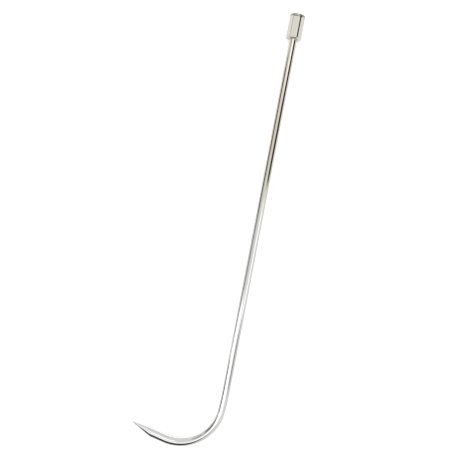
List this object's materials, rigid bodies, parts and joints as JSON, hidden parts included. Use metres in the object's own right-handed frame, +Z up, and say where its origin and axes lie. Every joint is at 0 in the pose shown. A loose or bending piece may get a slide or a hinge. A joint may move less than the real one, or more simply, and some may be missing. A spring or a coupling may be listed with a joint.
{
  "type": "bent push rod with ground point",
  "caption": "Round steel push rod bent into an open hook with a ground point, with a hexagonal adapter welded on for a removable handle.",
  "frame": {"origin": "middle of the tool's footprint as it lies flat, at its lowest level", "axes": "+Y along the straight shank towards the hex adapter, hook in the horizontal plane with its point towards -X, +Z up out of the hook's plane"},
  "size_m": [0.1282, 0.6095, 0.0208],
  "materials": {
    "polished_rod": "polished stainless steel, fine lengthwise polishing lines",
    "polished_hex": "polished stainless steel with a duller turned rim",
    "dressed_weld": "stainless weld metal dressed flush"
  },
  "bodies": {
    "root": {"hook_shaft": "polished_rod", "hex_adapter": "polished_hex", "end_weld": "dressed_weld"}
  },
  "joints": []
}
